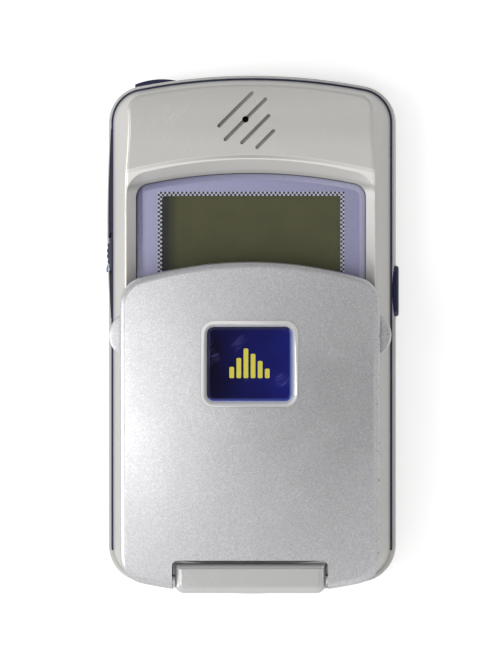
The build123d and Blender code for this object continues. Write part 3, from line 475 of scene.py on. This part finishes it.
# ---- Keys ----
# Fifteen keycaps moulded in pale grey acrylic with a matt top. Each has a rim that keeps it
# under the housing, and a printed mark that stands a hair proud of the cap.
key_plastic = coloured_plastic("pale_key_acrylic", (0.6, 0.61, 0.64), 0.34, 0.0002, 0.000003)
menu_plastic = coloured_plastic("navy_key_acrylic", (0.02, 0.025, 0.16), 0.3, 0.0002, 0.000003)
digits = ("1", "2", "3", "4", "5", "6", "7", "8", "9", "star", "0", "hash")
dress(key_plastic, *["key_" + digit for digit in digits], "key_call", "key_end")
dress(menu_plastic, "key_menu")

letters = {"2": "ABC", "3": "DEF", "4": "GHI", "5": "JKL", "6": "MNO",
           "7": "PQRS", "8": "TUV", "9": "WXYZ", "0": "+"}
marks = {"star": "*", "hash": "#"}


def ink(name, colour):
    """Pad-printed ink, a little uneven and worn through in specks."""
    print_ink = Finish(name, colour, 0.4)
    worn = [part * 0.75 + 0.05 for part in colour]
    print_ink.set(Base_Color=print_ink.mix(print_ink.cloud(0.0003, 3.0), colour, worn))
    print_ink.bump(print_ink.cloud(0.0001), 0.000002)
    return print_ink


navy_ink = ink("navy_ink", (0.02, 0.025, 0.12))
green_ink = ink("green_ink", (0.02, 0.25, 0.07))
red_ink = ink("red_ink", (0.4, 0.02, 0.02))
white_ink = ink("white_ink", (0.7, 0.72, 0.78))
ink_thickness = 0.00002


def printed(text, name, size, x, y, z, finish, body, width=1.0):
    """Printed characters, centred on a place and lying flat in a thin film of ink."""
    bpy.ops.object.select_all(action="DESELECT")
    bpy.ops.object.text_add(location=(0, 0, 0))
    piece = bpy.context.object
    piece.data.body = text
    piece.data.size = size
    piece.data.align_x = "CENTER"
    piece.data.align_y = "CENTER"
    piece.data.extrude = ink_thickness / 2
    piece.data.resolution_u = 3
    bpy.ops.object.convert(target="MESH")
    bpy.ops.transform.resize(value=(width, 1, 1), center_override=(0, 0, 0))
    settle(x, y, z + ink_thickness / 2)
    return finish_piece(piece, name, finish, body)


mark_shift = 0.0018
for digit in digits:
    low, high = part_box("key_" + digit)
    flat = (low + high) / 2
    body = "key_" + digit + "_button"
    group = letters.get(digit)
    x = flat.x - mark_shift if group else flat.x
    printed(marks.get(digit, digit), "mark_" + digit, 0.0034, x, flat.y, high.z,
            navy_ink, body, 1.15)
    if group:
        printed(group, "letters_" + digit, 0.0015, flat.x + mark_shift, flat.y, high.z,
                navy_ink, body, 1.1)


def printed_ring(name, x, y, z, radius, start, turn, thick, finish, body):
    """Printed arc of ink, drawn as a curve and pressed to a film."""
    bpy.ops.object.select_all(action="DESELECT")
    bpy.ops.mesh.primitive_circle_add(vertices=48, radius=radius, location=(0, 0, 0))
    piece = bpy.context.object
    bpy.ops.object.mode_set(mode="EDIT")
    form = bmesh.from_edit_mesh(piece.data)
    unwanted = []
    for corner in form.verts:
        angle = (math.atan2(corner.co.y, corner.co.x) - start) % (2 * math.pi)
        if angle > turn:
            unwanted.append(corner)
    bmesh.ops.delete(form, geom=unwanted, context="VERTS")
    bmesh.update_edit_mesh(piece.data)
    bpy.ops.mesh.select_all(action="SELECT")
    bpy.ops.mesh.extrude_edges_move(TRANSFORM_OT_translate={"value": (0, 0, 0)})
    share = (radius + thick) / radius
    bpy.ops.transform.resize(value=(share, share, 1), center_override=(0, 0, 0))
    thicken(ink_thickness)
    settle(x, y, z)
    return finish_piece(piece, name, finish, body)


ring_start = 0.25
for side, finish, half_turn, lift in (
    ("call", green_ink, math.pi, 0.0006),
    ("end", red_ink, 0.0, -0.0006),
):
    low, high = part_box("key_" + side)
    flat = (low + high) / 2
    printed_ring("mark_" + side, flat.x, flat.y + lift, high.z, 0.0012, ring_start + half_turn,
                 math.pi - 2 * ring_start, 0.0006, finish, "key_" + side + "_button")
low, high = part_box("key_menu")
flat = (low + high) / 2
printed_ring("mark_menu", flat.x, flat.y, high.z, 0.0009, 0, 2 * math.pi + 0.1, 0.00035,
             white_ink, "key_menu_button")


# ---- Sound ----
# The earpiece capsule under the brow with its foam ring, the microphone and the loudspeaker:
# pressed steel cans with a black fibre cover.
def metal(name, colour, rough, stretch=(1, 30, 1), tarnish=0.25):
    """Bright metal with drawing lines and a dull bloom."""
    piece = Finish(name, colour, rough, 1.0)
    lines = piece.cloud(0.00008, 1.0, stretch)
    bloom = piece.ramp(piece.cloud(0.0025, 3.0), 0.35, 0.75)
    dull = [part * (1 - tarnish) for part in colour]
    piece.set(Base_Color=piece.mix(bloom, colour, dull))
    piece.set(Roughness=piece.ramp(bloom, 0, 1, rough, rough + 0.15))
    piece.bump(lines, 0.000002)
    return piece


steel = metal("bright_steel", (0.62, 0.61, 0.6), 0.24)
foam = coloured_plastic("black_foam", (0.012, 0.012, 0.013), 0.8, 0.0003, 0.00004)
black_plastic = coloured_plastic("black_plastic", (0.014, 0.014, 0.016), 0.4)
dress(steel, "microphone", "loudspeaker")
dress(foam, "receiver", "receiver_gasket")


# ---- Flip ----
# The hinged cover over the keypad, moulded in ABS and sprayed with a coarser, brighter silver
# than the body. Its liner is plain silver, and two rubber stops sit in its rim.
flip_paint = silver_paint("coarse_silver_flip", (0.52, 0.52, 0.532), 0.33, 0.85, 0.00014, 0.075)
low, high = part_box("flip_cover")
silver = flip_paint.shader.inputs["Base Color"].links[0].from_socket
sparks = flip_paint.ramp(flip_paint.flakes(0.00015), 0.965, 0.97, 0.0, 0.28)
silver = flip_paint.mix(sparks, silver, (0.95, 0.95, 0.97))
edge = flip_paint.ramp(flip_paint.axis("X"), 0.0211, 0.0215)
chips = flip_paint.times(edge, flip_paint.ramp(flip_paint.cloud(0.0005, 2.0), 0.66, 0.69))
flip_paint.set(Base_Color=flip_paint.mix(chips, silver, (0.1, 0.1, 0.1)))

# Round the plaque's pocket the light falls as on the flip's whole dome, which has one radius
# across the flip and another along it.
dome_across = 0.186
dome_along = 0.235
dome_middle = high.y - 0.02235
plaque_low, plaque_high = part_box("plaque_bezel")
plaque_middle = (plaque_low + plaque_high) / 2
up_dome = flip_paint.count("SUBTRACT", flip_paint.axis("Y"), dome_middle)
dome = flip_paint.node("ShaderNodeCombineXYZ", {
    "X": flip_paint.count("DIVIDE", flip_paint.axis("X"), dome_across),
    "Y": flip_paint.count("DIVIDE", up_dome, dome_along),
    "Z": 1.0,
}).outputs[0]
dome = flip_paint.node(
    "ShaderNodeVectorTransform", {"Vector": dome},
    vector_type="NORMAL", convert_from="OBJECT", convert_to="WORLD",
).outputs[0]
round_plaque = flip_paint.times(
    flip_paint.within("X", plaque_middle.x, 0.0135),
    flip_paint.within("Y", plaque_middle.y, 0.0125),
    flip_paint.count("GREATER_THAN", flip_paint.axis("Z"), high.z - 0.0012),
)
own = flip_paint.node("ShaderNodeNewGeometry").outputs["Normal"]
smooth = flip_paint.node(
    "ShaderNodeMix", {0: round_plaque, 4: own, 5: dome}, data_type="VECTOR"
).outputs[1]
first_bump = [node for node in flip_paint.tree.nodes if node.type == "BUMP"][0]
flip_paint.join(smooth, first_bump.inputs["Normal"])
dress(flip_paint, "flip_cover")

liner_paint = silver_paint("silver_liner", (0.46, 0.46, 0.47), 0.4, 0.6, 0.0001, 0.015)
dress(liner_paint, "flip_liner")
stop_rubber = coloured_plastic("grey_rubber_stop", (0.08, 0.08, 0.085), 0.7, 0.0002, 0.00001)
dress(stop_rubber, "flip_bumpers")


# ---- Finger ears ----
# A rounded ear on each side of the flip gives the fingers a hold. The real ears are moulded in
# one with the flip and sprayed with it, so these stand in its edge and wear the same silver.
low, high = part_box("flip_cover")
ear_half = 0.0035
ear_thickness = 0.00154
ear_rim = 0.00035
ear_tip = high.x + 0.00004
ear_edge = high.x - 0.0018
ear_root = ear_edge - 0.0006
ear_middle = high.y - 0.01245
ear_low = low.z + 0.00273
ear_high = ear_low + ear_thickness
rise = ear_tip - ear_edge
ear_radius = (ear_half ** 2 + rise ** 2) / (2 * rise)
ear_spread = math.asin(ear_half / ear_radius)
quarter = math.pi / 2


def ear_ring(form, side, level, inset):
    """One level of the ear: the arc of its rim, closed by two corners inside the flip."""
    radius = ear_radius - inset
    ring = []
    for turn in steps_between(-ear_spread, ear_spread, 24):
        x = ear_tip - ear_radius + radius * math.cos(turn)
        ring.append((x, ear_middle + radius * math.sin(turn)))
    ring += [(ear_root, ring[-1][1]), (ear_root, ring[0][1])]
    return [form.verts.new((side * x, y, level)) for x, y in ring]


for side, place in ((-1, "left"), (1, "right")):
    form = bmesh.new()
    rings = []
    for foot, start in ((ear_low + ear_rim, -quarter), (ear_high - ear_rim, 0)):
        for tilt in steps_between(start, start + quarter, 5):
            level = foot + ear_rim * math.sin(tilt)
            rings.append(ear_ring(form, side, level, ear_rim * (1 - math.cos(tilt))))
    for under, over in zip(rings, rings[1:]):
        for step in range(len(under)):
            form.faces.new((under[step - 1], under[step], over[step], over[step - 1]))
    form.faces.new(rings[0])
    form.faces.new(rings[-1])
    bmesh.ops.recalc_face_normals(form, faces=form.faces)
    piece = piece_from(form, "finger_ear_" + place)
    bpy.ops.object.shade_smooth_by_angle(angle=math.radians(40))
    finish_piece(piece, "finger_ear_" + place, flip_paint, "flip")


# ---- Plaque ----
# A clear navy tile polished on its face and chamfered round, let into a bright silver frame
# that slopes down to it. A small yellow group of level bars is printed on it.
bezel = Finish("bright_bezel", (0.78, 0.78, 0.77), 0.12, 0.35)
bezel.set(Base_Color=bezel.mix(bezel.cloud(0.002, 3.0), (0.74, 0.74, 0.73), (0.82, 0.82, 0.81)))
bezel.bump(bezel.cloud(0.0002, 2.0), 0.000003)
dress(bezel, "plaque_bezel")

tile = Finish("navy_tile", (0.01, 0.008, 0.06), 0.06)
low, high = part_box("plaque_window")
# The blue is painted lighter toward the right, as painted light, with a random mottle over it.
mottle = tile.ramp(tile.cloud(0.005, 1.0), 0.3, 0.7, -0.12, 0.12)
painted_light_and_mottle = tile.count("ADD", tile.ramp(tile.axis("X"), low.x, high.x), mottle)
blue = tile.mix(tile.ramp(painted_light_and_mottle, 0.0, 1.0), (0.006, 0.005, 0.014), (0.012, 0.014, 0.14))
chamfer = 0.0005
rise = tile.ramp(tile.axis("Z"), high.z - chamfer, high.z - 0.00004, 1.0, 0.0)
# The chamfer is dark navy with painted highlights: a blue one along its foot and a pale blue one down
# its right side.
at_right = tile.ramp(tile.axis("X"), high.x - 0.0006, high.x - 0.0003)
at_foot = tile.ramp(tile.axis("Y"), low.y + 0.0003, low.y + 0.0005, 1.0, 0.0)
rim = tile.mix(at_foot, (0.012, 0.012, 0.07), (0.05, 0.08, 0.42))
rim = tile.mix(at_right, rim, (0.28, 0.4, 0.85))
hairs = tile.count(
    "ADD", tile.scratches(0.75, 0.00006, 0.003, 0.62), tile.scratches(1.2, 0.00005, 0.004, 0.64)
)
blue = tile.mix(tile.times(hairs, 0.5), blue, (0.12, 0.11, 0.4))
tile.set(Base_Color=tile.mix(rise, blue, rim))
tile.set(Specular_IOR_Level=0.25)
tile.bump(hairs, 0.000002, 0.5)
dress(tile, "plaque_window")

yellow_ink = ink("yellow_ink", (0.62, 0.55, 0.02))
tile_middle = (low + high) / 2
bar_width = 0.0008
bar_pitch = 0.0012
bar_corner = 0.0002
bar_heights = (0.0019, 0.0034, 0.005, 0.0041, 0.0029, 0.0016)
bar_foot = tile_middle.y - 0.0024
for place, height in enumerate(bar_heights):
    x = tile_middle.x + (place - (len(bar_heights) - 1) / 2) * bar_pitch
    bpy.ops.object.select_all(action="DESELECT")
    bpy.ops.mesh.primitive_plane_add(size=1, location=(0, 0, 0))
    piece = bpy.context.object
    piece.scale = (bar_width, height, 1)
    bpy.ops.object.transform_apply(location=False, rotation=False, scale=True)
    bpy.ops.object.mode_set(mode="EDIT")
    bpy.ops.mesh.select_all(action="SELECT")
    bpy.ops.mesh.bevel(offset=bar_corner, segments=4, affect="VERTICES")
    thicken(ink_thickness)
    settle(x, bar_foot + height / 2, high.z)
    finish_piece(piece, "level_bar_" + str(place + 1), yellow_ink, "flip")


# ---- Hinge ----
# A silver block at the bottom end carries a steel pin, on which the flip turns. A black cam
# and a coil spring inside the block hold the flip open and closed.
block_paint = silver_paint("silver_hinge_block", (0.53, 0.53, 0.525), 0.3, 0.45, 0.0001, 0.012)
dress(block_paint, "hinge_block")
dress(steel, "hinge_shaft", "hinge_spring")
dress(black_plastic, "hinge_cam")


# ---- Battery and back ----
# The cell in its shrink wrap inside the battery case, its cover plate, gold contacts on both
# sides of the joint, the sliding latch, and the chip card in its pressed steel holder.
wrap = coloured_plastic("cell_wrap", (0.09, 0.1, 0.16), 0.35, 0.0012, 0.00001)
dress(wrap, "battery_cell")
dress(black_plastic, "battery_cover")
gold = metal("gold_flash", (0.82, 0.6, 0.24), 0.22)
dress(gold, "battery_terminals", "battery_contacts")
latch_paint = silver_paint("silver_latch", (0.44, 0.44, 0.45), 0.4, 0.6, 0.0001, 0.015)
dress(latch_paint, "battery_latch")

card = Finish("chip_card", (0.6, 0.6, 0.58), 0.35)
low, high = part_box("sim_card")
chip_half = 0.0045
chip_row = 0.0018
chip_gap = 0.00012
across = card.off("X", low.x + 0.006)
along = card.off("Y", (low.y + high.y) / 2)
pad = card.count("LESS_THAN", card.count("MAXIMUM", across, card.times(along, 0.9)), chip_half)
from_row = card.count("ABSOLUTE", card.count("SUBTRACT", along, chip_row))
gaps = card.count(
    "MAXIMUM",
    card.count("LESS_THAN", across, chip_gap),
    card.count("LESS_THAN", from_row, chip_gap),
)
pale = card.mix(card.cloud(0.003, 3.0), (0.55, 0.56, 0.56), (0.64, 0.64, 0.62))
pads = card.mix(gaps, (0.7, 0.5, 0.18), (0.12, 0.09, 0.05))
card.set(Base_Color=card.mix(pad, pale, pads))
card.set(Metallic=card.times(pad, 0.9))
card.bump(card.count("SUBTRACT", pad, gaps), 0.00002)
dress(card, "sim_card")
dress(steel, "sim_holder")


# ---- Electronics ----
# The tinned shield over the radio, the vibration motor, the socket at the bottom end, the
# side switches and the antenna strip, all soldered or clipped to the board.
dress(steel, "shield_can", "vibration_motor")
dress(black_plastic, "system_connector", "side_switches")
dress(gold, "antenna")


# ---- Side controls ----
# Navy keys on the right side and the left shoulder, and a dark strip on the left side that
# holds a ribbed jog dial and a small blue slide switch.
side_navy = coloured_plastic("gloss_navy_key", (0.007, 0.009, 0.05), 0.2, 0.0004, 0.000002)
dress(side_navy, "volume_key", "power_key")
strip_plastic = coloured_plastic("dark_strip", (0.01, 0.011, 0.03), 0.3)
dress(strip_plastic, "side_strip")
dial_plastic = coloured_plastic("slate_dial", (0.05, 0.055, 0.09), 0.35)
dress(dial_plastic, "jog_dial")
dress(steel, "jog_shaft")
nub_plastic = coloured_plastic("blue_slide", (0.05, 0.13, 0.5), 0.3)
dress(nub_plastic, "hold_switch")


# ---- Case screws ----
# Four steel screws go up through the rear housing into the bosses of the front housing.
screw_steel = metal("zinc_screw", (0.5, 0.5, 0.48), 0.3, (1, 1, 1))
dress(screw_steel, "case_screws")


# ---- Studio ----
# A pale floor under a white dome of light, with one large soft lamp high on the left and a
# smaller one that shapes the edges. Two round cards over the phone show in its glossy faces
# only.
bpy.ops.object.select_all(action="DESELECT")
bpy.ops.mesh.primitive_plane_add(size=6, location=(0, 0, -0.00005))
floor = bpy.context.object
floor.name = "floor"
floor_finish = Finish("pale_floor", (0.93, 0.93, 0.93), 0.9)
floor_finish.set(Specular_IOR_Level=0.0, Emission_Color=(1, 1, 1, 1))
seen = floor_finish.node("ShaderNodeLightPath").outputs["Is Camera Ray"]
floor_finish.set(Emission_Strength=floor_finish.ramp(seen, 0, 1, 0, 0.34))
floor.data.materials.append(floor_finish.material)

# The dome lights the phone more from its foot and its left. Looked at straight it is white.
world = bpy.data.worlds.new("white_dome")
bpy.context.scene.world = world
world.use_nodes = True
sky = world.node_tree
rays = sky.nodes.new("ShaderNodeLightPath")
seen = rays.outputs["Is Camera Ray"]
toward = sky.nodes.new("ShaderNodeVectorMath")
toward.operation = "DOT_PRODUCT"
toward.inputs[1].default_value = (-0.1, -0.35, 0)
sky.links.new(sky.nodes.new("ShaderNodeTexCoord").outputs["Generated"], toward.inputs[0])
lean_of_light = sky.nodes.new("ShaderNodeMath")
lean_of_light.inputs[1].default_value = 0.8
sky.links.new(toward.outputs["Value"], lean_of_light.inputs[0])
level = sky.nodes.new("ShaderNodeMapRange")
level.inputs["To Max"].default_value = 1.0
sky.links.new(lean_of_light.outputs[0], level.inputs["To Min"])
sky.links.new(seen, level.inputs["Value"])
sky.links.new(level.outputs[0], sky.nodes["Background"].inputs["Strength"])
sky.nodes["Background"].inputs["Color"].default_value = (1, 1, 1, 1)


def lamp(name, place, size, power):
    """Large soft lamp that faces the phone."""
    light = bpy.data.lights.new(name, "AREA")
    light.shape = "DISK"
    light.size = size
    light.energy = power
    holder = bpy.data.objects.new(name, light)
    bpy.context.scene.collection.objects.link(holder)
    holder.location = place
    holder.rotation_euler = (-holder.location).to_track_quat("-Z", "Y").to_euler()


lamp("large_soft_lamp", (-0.33, -0.03, 0.75), 0.3, 0.9)
lamp("edge_lamp", (-0.58, -0.1, 0.17), 0.36, 1.5)


def reflector(name, place, radius, painted_light_and_mottle):
    """Round card over the phone that only shows as a reflection."""
    bpy.ops.object.select_all(action="DESELECT")
    bpy.ops.mesh.primitive_circle_add(
        vertices=64, radius=radius, fill_type="NGON", location=place
    )
    sheet = bpy.context.object
    sheet.name = name
    paper = Finish(name, (0.0, 0.0, 0.0), 1.0)
    paper.set(Specular_IOR_Level=0.0, Emission_Color=(painted_light_and_mottle, painted_light_and_mottle, painted_light_and_mottle, 1), Emission_Strength=1.0)
    sheet.data.materials.append(paper.material)
    sheet.visible_camera = False
    sheet.visible_diffuse = False
    sheet.visible_shadow = False


reflector("grey_card", (0.13, -0.02, 1.0), 0.2, 0.05)
reflector("white_card", (0.02, 0.23, 1.0), 0.09, 1.5)

view = bpy.data.cameras.new("camera")
view.lens = 600
view.sensor_width = 36
eye = bpy.data.objects.new("camera", view)
bpy.context.scene.collection.objects.link(eye)
reach = 1.9006
lean = math.radians(1.9)
aim = (-0.00027, -0.00007, 0.008)
eye.location = (aim[0] + reach * math.sin(lean), aim[1], aim[2] + reach * math.cos(lean))
eye.rotation_euler = (0, lean, 0)
bpy.context.scene.camera = eye
bpy.context.scene.view_settings.view_transform = "Standard"
